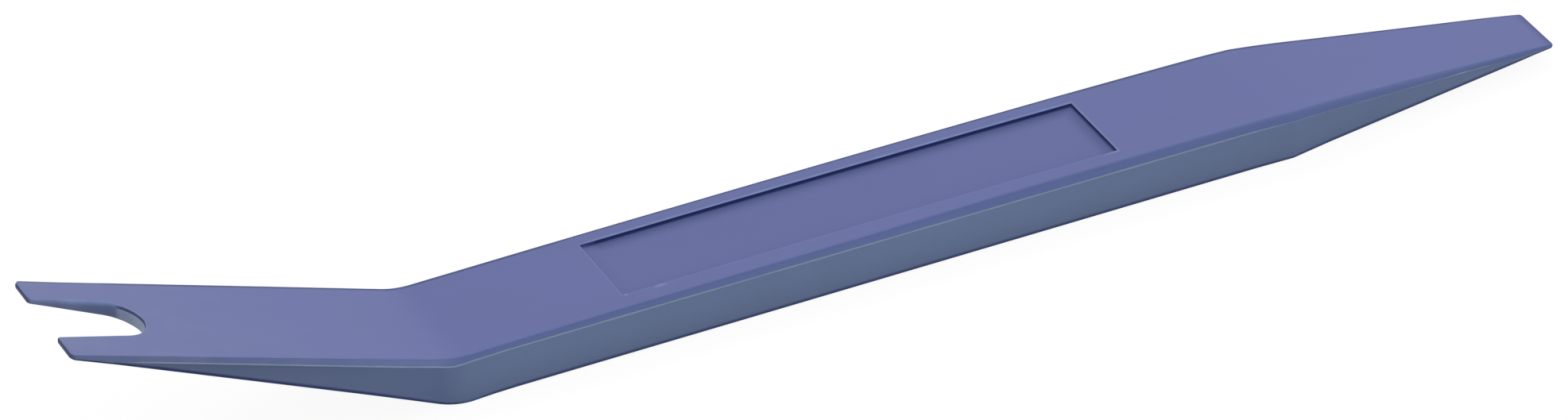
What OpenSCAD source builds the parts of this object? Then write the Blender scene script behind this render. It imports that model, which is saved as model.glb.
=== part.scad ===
// Trim removal tool: one moulded bar with a forked, upward cranked arm at one end and a thin
// flat wedge at the other. It lies on the flat underside of its handle. Millimetres.
// +X runs from the fork to the wedge, +Z is up, and the origin is under the middle of the tool.

/* [Handle] */
// Length of the handle, from the bend to the shoulder
handle_length = 133.8; // [100:0.2:180]
// Width of the tool over its top
tool_width = 20; // [16:0.5:28]
// Thickness of the handle
tool_thickness = 7.9; // [6:0.1:10]

/* [Forked arm] */
// Length of the arm along its top face, from the bend to the fork tips
arm_length = 59.4; // [45:0.1:75]
// Upward slope of the arm's top face
arm_angle = 18.8; // [10:0.1:28]
// Thickness left at the fork tips
fork_tip_thickness = 0.85; // [0.4:0.05:1.5]
// Radius of the hollow bend in the top face
bend_top_radius = 14; // [10:1:25]
// Radius of the outer bend in the underside
bend_bottom_radius = 12; // [8:1:30]
// Corner radius of the tines, seen from above
tine_corner_radius = 0.9; // [0.4:0.1:2]

/* [Fork slot] */
// Depth of the slot from the fork tips, seen from above
slot_depth = 14.7; // [10:0.1:22]
// Width of the slot at its round end
slot_width = 8.8; // [6:0.1:10]
// Width of the slot at its mouth
slot_mouth_width = 10.2; // [8:0.1:12]

/* [Flat wedge] */
// Length of the wedge, from the shoulder to its tip
wedge_length = 46.8; // [35:0.1:65]
// Width of the wedge at its tip
wedge_tip_width = 10.1; // [7:0.1:14]
// Thickness left at the wedge tip
wedge_tip_thickness = 0.7; // [0.4:0.05:1.5]
// Height of the tip's underside over the surface that the tool lies on
wedge_tip_lift = 2.1; // [0.8:0.1:2.5]
// Corner radius of the tip, seen from above
wedge_corner_radius = 1; // [0.4:0.1:2]
// Length on either side of the shoulder over which the top face eases into its slope
shoulder_ease = 9; // [2:0.5:14]

/* [Panel recess] */
// Length of the sunk panel in the handle's top
recess_length = 78.6; // [50:0.1:95]
// Width of the sunk panel
recess_width = 13.6; // [8:0.1:13.8]
// Depth of the sunk panel
recess_depth = 0.6; // [0.4:0.1:1.2]

/* [Edges] */
// Radius of the rounded top edges
top_edge_radius = 0.95; // [0.6:0.05:1.2]
// Upright land between the rounded top edge and the parting ledge
ledge_land = 0.1; // [0.05:0.05:0.3]
// Step inwards at the parting ledge, where the two mould halves met
ledge_step = 0.15; // [0.1:0.05:0.3]
// Radius of the rounded bottom edges
bottom_edge_radius = 0.6; // [0.4:0.1:1]

/* [Hidden] */
$fn = 96;

half_width = tool_width / 2;
ledge_depth = top_edge_radius + ledge_land;
arm_run = arm_length * cos(arm_angle);
arm_rise = arm_length * sin(arm_angle);
underside_angle = atan((tool_thickness + arm_rise - fork_tip_thickness) / arm_run);
wedge_top_angle = atan((tool_thickness - wedge_tip_lift - wedge_tip_thickness) / wedge_length);
wedge_bottom_angle = atan(wedge_tip_lift / wedge_length);
wedge_taper_angle = atan((tool_width - wedge_tip_width) / 2 / wedge_length);

// Along the tool, from the bend in the top face
fork_tip_x = -arm_run;
wedge_tip_x = handle_length + wedge_length;
tool_length = wedge_tip_x - fork_tip_x;
tool_middle_x = (wedge_tip_x + fork_tip_x) / 2;
slot_round_x = fork_tip_x + slot_depth - slot_width / 2;

// Circles of the side view that the eased shoulder and the two bends follow
shoulder_radius = shoulder_ease / tan(wedge_top_angle / 2);
shoulder_centre = [handle_length - shoulder_ease, tool_thickness - shoulder_radius];
bend_centre = [bend_top_radius * tan(arm_angle / 2), tool_thickness + bend_top_radius];
heel_centre = [bend_bottom_radius * tan(underside_angle / 2), bend_bottom_radius];

// Each of these curves is a row of narrow flats that touch its circle
curve_flats = 6;
// Blanks are this long and reach this far past the faces that cut them
reach = tool_length;
margin = 1;
// Part of a rounding that runs past the side wall, so that the two meet at a clear line
rounding_overrun = 0.03;
// Share of its radius over which a rounding falls from the face before the stock stands clear of it
rounding_fall = 0.9;

function unit(v) = v / norm(v);
function turned(angle) = [cos(angle), sin(angle)];

// A flat of the side view is its slope, falling towards +X, and its height over the place x = 0.
// This one touches a circle at an angle from upright: on top of it for side 1, below it for side -1.
function flat_on(centre, radius, angle, side) =
    [angle, centre[1] + side * radius / cos(angle) + centre[0] * tan(angle)];

// Height of a flat at a place along the tool
function height_on(flat, x) = flat[1] - x * tan(flat[0]);

// Flats of the top face after it is lowered: the hollow bend up to the arm, and from the handle's
// own top over the shoulder to the wedge's
function bend_flats_at(drop) = [
    for (index = [1 : curve_flats])
        flat_on(bend_centre, bend_top_radius + drop, arm_angle * index / curve_flats, -1)
];
function shoulder_flats_at(drop) = [
    for (index = [0 : curve_flats])
        flat_on(shoulder_centre, shoulder_radius - drop, wedge_top_angle * index / curve_flats, 1)
];

// Flats of the underside: the heel under the bend, with the handle's own underside first
heel_flats = [
    for (index = [0 : curve_flats])
        flat_on(heel_centre, bend_bottom_radius, underside_angle * index / curve_flats, -1)
];
wedge_underside = [-wedge_bottom_angle, -handle_length * tan(wedge_bottom_angle)];

// Lays a profile drawn across the tool, width along X and height along Y, out along the tool
module along_tool(length) {
    rotate([90, 0, 90])
        linear_extrude(length)
            children();
}

// Takes the sharp corner off an outline: the corner point, and unit vectors along its two sides
module corner_cutter(corner, side_a, side_b, radius) {
    half_angle = acos(side_a * side_b) / 2;
    setback = radius / tan(half_angle);
    centre = corner + unit(side_a + side_b) * radius / sin(half_angle);
    tangent_a = corner + side_a * setback;
    tangent_b = corner + side_b * setback;
    out_a = unit(tangent_a - centre) * margin;
    out_b = unit(tangent_b - centre) * margin;
    difference() {
        polygon([
            tangent_a, tangent_a + out_a, corner + out_a + out_b,
            tangent_b + out_b, tangent_b, centre
        ]);
        translate(centre)
            circle(radius);
    }
}

// One long edge with its rounding, the stock inwards along X and down along Y. The rounding runs
// into a side wall at the distance wall, and under it the stock stands clear of that wall.
module edge_profile(inwards, wall, radius) {
    centre_x = wall - rounding_overrun + radius;
    difference() {
        translate([-margin, -reach])
            square([inwards + margin, reach]);
        difference() {
            translate([-2 * margin, -rounding_fall * radius])
                square([centre_x + 2 * margin, radius]);
            translate([centre_x, -radius])
                circle(radius);
        }
    }
}

module top_edge(inwards) {
    edge_profile(inwards, 0, top_edge_radius);
}

module bottom_edge(inwards) {
    mirror([0, 1])
        edge_profile(inwards, ledge_step, bottom_edge_radius);
}

// Long bar along one flat. The profile's origin runs along the near corner, past the place x on the
// handle's side, and turns inwards there by the angle turn.
module flat_bar(flat, x = 0, turn = 0) {
    translate([x, -half_width, height_on(flat, x)])
        rotate([0, flat[0], 0])
            rotate([0, 0, turn])
                translate([-reach, 0, 0])
                    along_tool(2 * reach)
                        children();
}

// What lies under the top face and its rounded edge, from the near side past the middle
module half_under_top() {
    inwards = half_width + 2 * margin;
    for (flat = bend_flats_at(0))
        flat_bar(flat)
            top_edge(inwards);
    intersection_for(flat = shoulder_flats_at(0))
        intersection() {
            flat_bar(flat)
                top_edge(inwards);
            flat_bar(flat, handle_length, wedge_taper_angle)
                top_edge(reach);
        }
}

// What lies over the underside and its rounded edge, from the near side past the middle
module half_over_underside() {
    inwards = half_width + 2 * margin;
    intersection() {
        intersection_for(flat = heel_flats)
            flat_bar(flat)
                bottom_edge(inwards);
        flat_bar(wedge_underside, handle_length, wedge_taper_angle)
            bottom_edge(reach);
    }
}

// Near half of the outline from above and a little past the middle
module half_outline() {
    difference() {
        polygon([
            [fork_tip_x, margin],
            [fork_tip_x, -half_width],
            [handle_length, -half_width],
            [wedge_tip_x, -wedge_tip_width / 2],
            [wedge_tip_x, margin]
        ]);
        corner_cutter([fork_tip_x, -half_width], [1, 0], [0, 1], tine_corner_radius);
        corner_cutter(
            [wedge_tip_x, -wedge_tip_width / 2], -turned(wedge_taper_angle), [0, 1],
            wedge_corner_radius
        );
    }
}

// What lies outside the near side after a step inwards, seen from above
module beside_ledge() {
    shoulder = [handle_length, ledge_step - half_width];
    past_tip = shoulder + turned(wedge_taper_angle) * reach;
    polygon([
        [-reach, shoulder[1]],
        shoulder,
        past_tip,
        [past_tip[0], -reach],
        [-reach, -reach]
    ]);
}

// Side view of all that lies under one flat
module under_flat(flat) {
    translate([0, flat[1]])
        rotate(-flat[0])
            translate([-reach, -reach])
                square([2 * reach, reach]);
}

// Side view of what lies under the parting ledge, which keeps its depth under the top face
module under_ledge() {
    for (flat = bend_flats_at(ledge_depth))
        under_flat(flat);
    intersection_for(flat = shoulder_flats_at(ledge_depth))
        under_flat(flat);
}

// Strip that the parting ledge takes off the near side
module ledge_strip() {
    intersection() {
        translate([0, tool_width, 0])
            rotate([90, 0, 0])
                linear_extrude(2 * tool_width)
                    under_ledge();
        translate([0, 0, -reach])
            linear_extrude(2 * reach)
                beside_ledge();
    }
}

// The bar's near half and a little past the middle, where it joins its mirror image
module half_bar() {
    difference() {
        intersection() {
            translate([0, 0, -reach])
                linear_extrude(2 * reach)
                    half_outline();
            half_under_top();
            half_over_underside();
        }
        ledge_strip();
    }
}

// Slot between the tines: a round end, sides that open towards the mouth, and rounded mouth corners
module slot_outline() {
    slot_run = slot_round_x - fork_tip_x;
    flare = (slot_mouth_width - slot_width) / 2 / slot_run;
    outer_half_width = slot_mouth_width / 2 + flare * margin;
    translate([slot_round_x, 0])
        circle(d = slot_width);
    polygon([
        [slot_round_x, -slot_width / 2],
        [slot_round_x, slot_width / 2],
        [fork_tip_x - margin, outer_half_width],
        [fork_tip_x - margin, -outer_half_width]
    ]);
    for (side = [-1, 1])
        corner_cutter(
            [fork_tip_x, side * slot_mouth_width / 2], [0, side], unit([1, -side * flare]),
            tine_corner_radius
        );
}

// The whole tool: two mirrored halves, the slot through the fork and the sunk panel
module trim_tool() {
    recess_corner = [(handle_length - recess_length) / 2, -recess_width / 2, tool_thickness - recess_depth];
    color("#6a73a5")
        translate([-tool_middle_x, 0, 0])
            difference() {
                union() {
                    half_bar();
                    mirror([0, 1, 0])
                        half_bar();
                }
                translate([0, 0, -margin])
                    linear_extrude(reach)
                        slot_outline();
                translate(recess_corner)
                    cube([recess_length, recess_width, recess_depth + margin]);
            }
}

trim_tool();
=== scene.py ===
"""Looks of a trim removal tool, one bar of blue plastic with a forked end and a wedge end."""

import logging
import math
from dataclasses import dataclass, field, replace
from enum import Enum
from typing import Any, Callable, NamedTuple, Optional, Union

import bmesh
import bpy
import numpy as np
from mathutils import Matrix, Vector


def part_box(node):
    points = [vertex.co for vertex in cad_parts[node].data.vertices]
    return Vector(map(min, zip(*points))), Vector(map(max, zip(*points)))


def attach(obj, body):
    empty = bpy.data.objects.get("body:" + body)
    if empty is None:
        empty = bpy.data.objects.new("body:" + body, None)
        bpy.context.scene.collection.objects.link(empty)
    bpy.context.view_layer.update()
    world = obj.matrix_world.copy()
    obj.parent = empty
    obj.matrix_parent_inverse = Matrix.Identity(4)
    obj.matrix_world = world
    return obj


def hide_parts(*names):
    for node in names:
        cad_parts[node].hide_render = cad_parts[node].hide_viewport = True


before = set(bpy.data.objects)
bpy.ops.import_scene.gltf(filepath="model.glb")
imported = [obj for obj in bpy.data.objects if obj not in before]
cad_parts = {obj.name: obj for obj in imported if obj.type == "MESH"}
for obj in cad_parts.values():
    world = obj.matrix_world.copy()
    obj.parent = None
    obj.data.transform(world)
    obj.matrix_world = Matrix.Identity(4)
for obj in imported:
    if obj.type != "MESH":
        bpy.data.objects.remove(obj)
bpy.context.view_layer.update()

MM = 0.001
NODE = "trim_tool"
BODY = "root"
SLOT = "blue_plastic"
PHOTO_WIDTH = 1973
QUARTER_TURN = math.pi / 2
SAME_PLACE = 1e-9
WHITE = (1.0, 1.0, 1.0, 1.0)

log = logging.getLogger("trim_tool")

Socket = bpy.types.NodeSocket
Material = bpy.types.Material
Piece = bpy.types.Object
Number = Union[int, float]
Colour = tuple[float, float, float]
Place = tuple[float, float, float]
Array = np.ndarray
Plan = tuple[Array, Array]
Outline = tuple[Plan, Plan]


class Signal:
    """A socket of a node tree that takes part in Python arithmetic, one Math node for each operation."""

    def __init__(self, nodes: "NodeBuilder", socket: Socket) -> None:
        """Keeps the builder that owns the socket and the socket itself."""
        self.nodes = nodes
        self.socket = socket

    def _math(self, operation: str, first: Any, second: Any) -> "Signal":
        """Adds one Math node and returns its result."""
        node = self.nodes.add("ShaderNodeMath", {"operation": operation}, {0: first, 1: second})
        return self.nodes.out(node)

    def __add__(self, other: Any) -> "Signal":
        """self + other."""
        return self._math("ADD", self, other)

    def __radd__(self, other: Number) -> "Signal":
        """other + self."""
        return self._math("ADD", other, self)

    def __sub__(self, other: Any) -> "Signal":
        """self - other."""
        return self._math("SUBTRACT", self, other)

    def __rsub__(self, other: Number) -> "Signal":
        """other - self."""
        return self._math("SUBTRACT", other, self)

    def __mul__(self, other: Any) -> "Signal":
        """self * other."""
        return self._math("MULTIPLY", self, other)

    def __rmul__(self, other: Number) -> "Signal":
        """other * self."""
        return self._math("MULTIPLY", other, self)

    def __truediv__(self, other: Any) -> "Signal":
        """self / other."""
        return self._math("DIVIDE", self, other)

    def __rtruediv__(self, other: Number) -> "Signal":
        """other / self."""
        return self._math("DIVIDE", other, self)

    def at_most(self, limit: Any) -> "Signal":
        """The lower of the signal and the limit."""
        return self._math("MINIMUM", self, limit)

    def at_least(self, limit: Any) -> "Signal":
        """The higher of the signal and the limit."""
        return self._math("MAXIMUM", self, limit)


class NodeBuilder:
    """Adds nodes to one tree, with their settings first and their sockets after."""

    def __init__(self, tree: bpy.types.NodeTree) -> None:
        """Empties the tree and keeps it."""
        tree.nodes.clear()
        self.tree = tree

    def add(self, kind: str, settings: Optional[dict[str, Any]] = None,
            sockets: Optional[dict[Union[str, int], Any]] = None) -> bpy.types.Node:
        """Adds one node.

        Args:
            kind: the node's type name.
            settings: properties of the node, set before its sockets.
            sockets: values, signals or sockets for its inputs, by name or place.

        Returns:
            The new node.
        """
        node = self.tree.nodes.new(kind)
        for name, value in (settings or {}).items():
            setattr(node, name, value)
        for key, value in (sockets or {}).items():
            source = value.socket if isinstance(value, Signal) else value
            if isinstance(source, Socket):
                self.tree.links.new(source, node.inputs[key])
            else:
                node.inputs[key].default_value = source
        return node

    def out(self, node: bpy.types.Node, key: Union[str, int] = 0) -> Signal:
        """One of a node's outputs as a signal."""
        return Signal(self, node.outputs[key])

    def place(self, kind: str = "Object") -> Socket:
        """The coordinates of the point that is shaded."""
        return self.add("ShaderNodeTexCoord").outputs[kind]

    def noise(self, vector: Any, scale: float, detail: float, roughness: float = 0.5) -> Signal:
        """A noise pattern around 0.5 with features of 1 / scale metres."""
        sockets = {"Vector": vector, "Scale": scale, "Detail": detail, "Roughness": roughness}
        return self.out(self.add("ShaderNodeTexNoise", {"noise_dimensions": "3D"}, sockets))

    def stretched(self, vector: Any, scale: Place) -> Socket:
        """The coordinates multiplied axis by axis."""
        sockets = {"Vector": vector, "Scale": scale}
        return self.add("ShaderNodeMapping", {"vector_type": "POINT"}, sockets).outputs[0]

    def ramp(self, value: Any, source: tuple[float, float], target: tuple[float, float]) -> Signal:
        """A smooth climb between the target's ends while the value goes between the source's."""
        ends = dict(zip(("From Min", "From Max", "To Min", "To Max"), (*source, *target)))
        settings = {"interpolation_type": "SMOOTHSTEP", "clamp": True}
        return self.out(self.add("ShaderNodeMapRange", settings, {"Value": value, **ends}))

    def spot(self, vector: Any, centre: Place, reach: Place, core: float = 0.2) -> Signal:
        """1 within the core of a place, falling to 0 at a reach that differs by axis."""
        mapping = self.add("ShaderNodeMapping", {"vector_type": "TEXTURE"},
                           {"Vector": vector, "Location": centre, "Scale": reach})
        distance = self.add("ShaderNodeVectorMath", {"operation": "LENGTH"}, {0: mapping.outputs[0]})
        return self.ramp(self.out(distance, "Value"), (core, 1.0), (1.0, 0.0))

    def attribute(self, name: str) -> Signal:
        """A value stored on the mesh's points."""
        return self.out(self.add("ShaderNodeAttribute", {"attribute_name": name}), "Fac")

    def seen(self) -> Signal:
        """1 for rays from the camera and for mirrored or refracted ones, else 0."""
        ray = self.add("ShaderNodeLightPath")
        camera, glossy, through = (self.out(ray, f"Is {kind} Ray")
                                   for kind in ("Camera", "Glossy", "Transmission"))
        return (camera + glossy + through).at_most(1.0)

    def tinted(self, colour: Colour, factor: Signal) -> Socket:
        """A colour times a varying grey level."""
        grey = self.add("ShaderNodeCombineColor", sockets={0: factor, 1: factor, 2: factor})
        return self.blended(1.0, (*colour, 1.0), grey.outputs[0], "MULTIPLY")

    def blended(self, factor: Any, first: Any, second: Any, blend: str = "MIX") -> Socket:
        """A mix of two colours, which are the Mix node's inputs 6 and 7."""
        settings = {"data_type": "RGBA", "blend_type": blend}
        return self.add("ShaderNodeMix", settings, {"Factor": factor, 6: first, 7: second}).outputs[2]


def new_material(name: str) -> tuple[Material, NodeBuilder]:
    """Makes an empty material, and the builder of its node tree."""
    material = bpy.data.materials.new(name)
    material.use_nodes = True
    return material, NodeBuilder(material.node_tree)


def placed(name: str, data: Any) -> Piece:
    """Puts a mesh, lamp or camera into the scene, at the origin."""
    made = bpy.data.objects.new(name, data)
    bpy.context.scene.collection.objects.link(made)
    return made


def applied(piece: Piece) -> Piece:
    """Turns a piece and its modifiers into a plain mesh.

    Args:
        piece: the piece, with live modifiers.

    Returns:
        The same piece, with a new mesh and no modifiers.
    """
    bpy.context.view_layer.update()
    graph = bpy.context.evaluated_depsgraph_get()
    mesh = bpy.data.meshes.new_from_object(piece.evaluated_get(graph), preserve_all_data_layers=True,
                                           depsgraph=graph)
    piece.modifiers.clear()
    mesh.name = piece.name
    piece.data = mesh
    return piece


class Mark(Enum):
    """What the mesh's points tell the plastic about themselves."""

    # In order: the fallen edge, which takes painted shade; rubbing with painted highlight; wear with
    # painted sheen; a painted reflection with the flash's paling; painted shade; the lower half's own
    # colour.
    FALL = "fall"
    RIM = "rim"
    WORN = "worn"
    SCRAPED = "scraped"
    GRIME = "grime"
    LOWER = "lower"


@dataclass(frozen=True)
class MouldedPlastic:
    """Matt blue plastic with a fine moulded grain and faint flow streaks, with painted light laid over
    its colour.

    The fallen top edges and the slot's walls take a darker copy of the colour, which is painted shade.
    Rims are paler, partly rubbed and partly painted highlight. Two spots by the recess are painted
    highlights, and the slot's walls are lifted as painted light. A pale patch deep in the slot is a
    painted reflection, and the same pale colour streaks the flash. The tines pale towards their tips,
    partly by wear and partly by painted sheen. A navy layer over everything is painted shade.

    Each highlight spot is a place and a reach. An evenness is the least share that a layer keeps between
    its patches.
    """

    colour: Colour = (0.113, 0.139, 0.340)
    lower_colour: Colour = (0.109, 0.156, 0.284)
    # A darker copy of the colour for the fallen edges and the slot's walls: painted shade.
    shaded_fall_colour: Colour = (0.090, 0.128, 0.304)
    # Paler colour for rims, partly rubbing and partly painted highlight, and painted light on the slot's
    # walls.
    highlight_and_rub_colour: Colour = (0.21, 0.28, 0.54)
    # Paler colour for the tines, partly wear and partly painted sheen.
    sheen_and_wear_colour: Colour = (0.23, 0.27, 0.36)
    # Pale colour for a painted reflection deep in the slot, and for the flash's paling.
    scrape_and_reflection_colour: Colour = (0.48, 0.58, 0.80)
    # Navy painted shade, for the recess, the foot, under the ledge, the arm's side, the tips, the slot's
    # line and the far crest.
    painted_shade_colour: Colour = (0.0, 0.014, 0.105)
    highlight_and_rub_share: float = 0.8
    sheen_and_wear_share: float = 0.8
    painted_shade_share: float = 0.93
    highlight_spot_share: float = 0.5
    highlight_and_rub_evenness: float = 0.6
    sheen_and_wear_evenness: float = 0.7
    scrape_and_reflection_evenness: float = 0.75
    # Two painted highlights by the recess's near rim.
    highlight_spots: tuple[tuple[Place, Place], ...] = (
        ((-0.02897, -0.00693, 0.00805), (0.0014, 0.0005, 0.0006)),
        ((-0.03425, -0.00661, 0.00805), (0.0005, 0.0005, 0.0006)),
    )
    mottle_scale: float = 90.0
    streak_scale: Place = (18.0, 240.0, 240.0)
    grain_scale: float = 3200.0
    peel_scale: float = 420.0
    patch_scale: float = 260.0
    patch_levels: tuple[float, float] = (0.42, 0.66)
    mottle_tone: float = 0.10
    streak_tone: float = 0.06
    grain_tone: float = 0.10
    roughness: float = 0.50
    mottle_roughness: float = 0.10
    grain_roughness: float = 0.12
    grain_depth: float = 0.012 * MM
    peel_depth: float = 0.02 * MM
    specular_level: float = 0.35
    refraction: float = 1.46

    def build(self, name: str) -> Material:
        """Makes the material.

        Args:
            name: what the material is called.

        Returns:
            The material, with its node tree.
        """
        material, nodes = new_material(name)
        place = nodes.place()
        mottle = nodes.noise(place, self.mottle_scale, detail=4.0) - 0.5
        streak = nodes.noise(nodes.stretched(place, self.streak_scale), scale=1.0, detail=3.0) - 0.5
        grain = nodes.noise(place, self.grain_scale, detail=2.0, roughness=0.6)
        peel = nodes.noise(place, self.peel_scale, detail=2.0)
        swing = grain - 0.5
        level = 1.0 + mottle * self.mottle_tone + streak * self.streak_tone + swing * self.grain_tone
        roughness = self.roughness + mottle * self.mottle_roughness + swing * self.grain_roughness
        fine = nodes.add("ShaderNodeBump", sockets={
            "Strength": 1.0, "Distance": self.grain_depth, "Height": grain})
        bump = nodes.add("ShaderNodeBump", sockets={
            "Strength": 1.0, "Distance": self.peel_depth, "Height": peel, "Normal": fine.outputs[0]})
        shader = nodes.add("ShaderNodeBsdfPrincipled", sockets={
            "Base Color": self._colour(nodes, place, level), "Roughness": roughness,
            "Normal": bump.outputs[0], "Specular IOR Level": self.specular_level, "IOR": self.refraction})
        nodes.add("ShaderNodeOutputMaterial", sockets={"Surface": shader.outputs[0]})
        return material

    def _colour(self, nodes: NodeBuilder, place: Any, level: Signal) -> Socket:
        """Lays painted shade, painted highlights, a painted reflection and some wear over the plastic's
        own colours, where the mesh's marks say so.

        Args:
            nodes: the builder of the material's tree.
            place: the coordinates.
            level: the grey level that the plastic's own colours vary by.

        Returns:
            The finished colour.
        """
        fall, rim, worn, scraped, grime, lower = (nodes.attribute(mark.value) for mark in Mark)
        patches = nodes.noise(place, self.patch_scale, detail=3.0)
        patchy = nodes.ramp(patches, self.patch_levels, (0.0, 1.0))

        def broken(evenness: float) -> Signal:
            """A share that varies in patches between the evenness and 1."""
            return evenness + (1.0 - evenness) * patchy

        # Two spots of painted highlight, then paler rims, partly rubbing and partly painted highlight.
        spot_highlights = nodes.spot(place, *self.highlight_spots[0])
        for highlight_spot in self.highlight_spots[1:]:
            spot_highlights = spot_highlights.at_least(nodes.spot(place, *highlight_spot))
        highlight_and_rub = rim * broken(self.highlight_and_rub_evenness) * self.highlight_and_rub_share
        top, fallen, low = (nodes.tinted(colour, level)
                            for colour in (self.colour, self.shaded_fall_colour, self.lower_colour))
        # The fallen edges take the darker copy of the colour: painted shade.
        colour = nodes.blended(lower, nodes.blended(fall, top, fallen), low)
        for share, layer in (
            (highlight_and_rub.at_least(spot_highlights * self.highlight_spot_share), self.highlight_and_rub_colour),
            (worn * self.sheen_and_wear_share * broken(self.sheen_and_wear_evenness), self.sheen_and_wear_colour),
            (scraped * broken(self.scrape_and_reflection_evenness), self.scrape_and_reflection_colour),
            # Painted shade goes on last.
            (grime * self.painted_shade_share, self.painted_shade_colour),
        ):
            colour = nodes.blended(share, colour, (*layer, 1.0))
        return colour


@dataclass(frozen=True)
class StudioPaper:
    """White paper with most of its shadow lifted, which throws less light back under the fork."""

    colour: Colour = (0.90, 0.91, 0.88)
    lift: float = 0.90
    dim_ends: tuple[float, float] = (-0.12, -0.05)
    dimmest: float = 0.35
    fibre_scale: float = 60.0
    fibre_tone: float = 0.03
    softness: float = 0.5
    brightness: float = 1.03

    def build(self, name: str) -> Material:
        """Makes the material.

        Args:
            name: what the material is called.

        Returns:
            The material, with its node tree.
        """
        material, nodes = new_material(name)
        place = nodes.place()
        fibre = nodes.noise(place, self.fibre_scale, detail=4.0)
        along = nodes.out(nodes.add("ShaderNodeSeparateXYZ", sockets={"Vector": place}), "X")
        seen = nodes.seen()
        shade = nodes.ramp(along, self.dim_ends, (self.dimmest, 1.0)).at_least(seen)
        body = nodes.tinted(self.colour, shade * (1.0 - self.fibre_tone / 2 + fibre * self.fibre_tone))
        paper = nodes.add("ShaderNodeBsdfDiffuse", sockets={"Color": body, "Roughness": self.softness})
        white = nodes.add("ShaderNodeEmission", sockets={"Color": WHITE, "Strength": self.brightness})
        mix = nodes.add("ShaderNodeMixShader", sockets={
            0: seen * self.lift, 1: paper.outputs[0], 2: white.outputs[0]})
        nodes.add("ShaderNodeOutputMaterial", sockets={"Surface": mix.outputs[0]})
        return material


class Profile(NamedTuple):
    """A value that varies along the tool, between stations in millimetres from the bend."""

    stations: tuple[float, ...]
    values: tuple[float, ...]

    def at(self, along: Array) -> Array:
        """The value at distances in metres from the bend."""
        return np.interp(along / MM, self.stations, self.values)


class Bend(NamedTuple):
    """A rounded bend between the arm and the handle, measured from where the two would meet."""

    angle: float
    radius: float

    @property
    def setback(self) -> float:
        """Length of handle that the bend takes up."""
        return self.radius * math.tan(self.angle / 2)

    @property
    def start(self) -> float:
        """Where the bend starts on the arm, below 0."""
        return self.setback - self.radius * math.sin(self.angle)

    def face(self, along: Array, height: float, handle: Array) -> Array:
        """Heights of a face that comes down the arm, round the bend and on along the handle.

        Args:
            along: places along the tool from the bend.
            height: the height at which the arm and the handle would meet.
            handle: the heights past the bend.

        Returns:
            The height at each place.
        """
        arm = height - along * math.tan(self.angle)
        inside = np.clip(along - self.setback, -self.radius, 0.0)
        bend = height + self.radius - np.sqrt(self.radius ** 2 - inside ** 2)
        return np.where(along < self.start, arm, np.where(along < self.setback, bend, handle))


@dataclass(frozen=True)
class SideView:
    """Heights of the tool's two faces along its length, which runs along X."""

    fork_tip: float
    wedge_tip: float
    handle_length: float = 133.8 * MM
    wedge_length: float = 46.8 * MM
    end_thickness: float = 7.8 * MM
    camber: float = 0.3 * MM
    arm_angle: float = math.radians(18.80)
    bend_radius: float = 13.6 * MM
    heel_radius: float = 12.2 * MM
    fork_tip_thickness: float = 0.85 * MM
    wedge_tip_thickness: float = 0.7 * MM
    wedge_tip_lift: float = 2.1 * MM
    shoulder_ease: float = 9.1 * MM
    slope_step: float = 0.05 * MM

    @property
    def shoulder(self) -> float:
        """Where the handle ends and the wedge begins."""
        return self.wedge_tip - self.wedge_length

    @property
    def bend(self) -> float:
        """Where the handle ends and the arm begins, in the top face."""
        return self.shoulder - self.handle_length

    @property
    def hollow(self) -> Bend:
        """The bend in the top face."""
        return Bend(self.arm_angle, self.bend_radius)

    @property
    def heel(self) -> Bend:
        """The bend in the underside."""
        run = self.bend - self.fork_tip
        rise = self.end_thickness + run * math.tan(self.arm_angle) - self.fork_tip_thickness
        return Bend(math.atan2(rise, run), self.heel_radius)

    @property
    def wedge_angle(self) -> float:
        """Slope of the wedge's top face."""
        fall = self.end_thickness - self.wedge_tip_lift - self.wedge_tip_thickness
        return math.atan2(fall, self.wedge_length)

    def top(self, x: Array) -> Array:
        """Height of the top face.

        Args:
            x: places along the tool.

        Returns:
            The height at each place.
        """
        along = np.asarray(x, float) - self.bend
        setback = self.hollow.setback
        ease_start = self.handle_length - self.shoulder_ease
        share = (along - setback) / (ease_start - setback)
        handle = self.end_thickness + 4 * self.camber * share * (1 - share)
        ease_radius = self.shoulder_ease / math.tan(self.wedge_angle / 2)
        in_ease = np.clip(along - ease_start, 0.0, ease_radius * math.sin(self.wedge_angle))
        past_ease = np.maximum(along - ease_start - in_ease, 0.0)
        shoulder = (self.end_thickness - ease_radius + np.sqrt(ease_radius ** 2 - in_ease ** 2)
                    - past_ease * math.tan(self.wedge_angle))
        after_bend = np.where(along > ease_start, np.minimum(handle, shoulder), handle)
        return self.hollow.face(along, self.end_thickness, after_bend)

    def underside(self, x: Array) -> Array:
        """Height of the underside.

        Args:
            x: places along the tool.

        Returns:
            The height at each place.
        """
        along = np.asarray(x, float) - self.bend
        wedge = np.maximum(along - self.handle_length, 0.0) * self.wedge_tip_lift / self.wedge_length
        return self.heel.face(along, 0.0, wedge)

    def steepness(self, x: Array) -> Array:
        """Upright distance for each unit of distance square to the top face."""
        slope = (self.top(x + self.slope_step) - self.top(x - self.slope_step)) / (2 * self.slope_step)
        return np.sqrt(1 + slope ** 2)


def arc(centre: tuple[float, float], radius: float, turns: Array) -> Outline:
    """A round stretch of the outline.

    Args:
        centre: the arc's centre, from above.
        radius: its radius, below 0 where the plastic lies outside the arc.
        turns: the angles of the directions into the plastic.

    Returns:
        The points and the unit vectors from them into the plastic.
    """
    inwards = (np.cos(turns), np.sin(turns))
    return (centre[0] - radius * inwards[0], centre[1] - radius * inwards[1]), inwards


def joined(*stretches: Outline) -> Outline:
    """Joins stretches of the outline end to end."""
    points, inwards = (tuple(map(np.concatenate, zip(*parts))) for parts in zip(*stretches))
    return points, inwards


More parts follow.
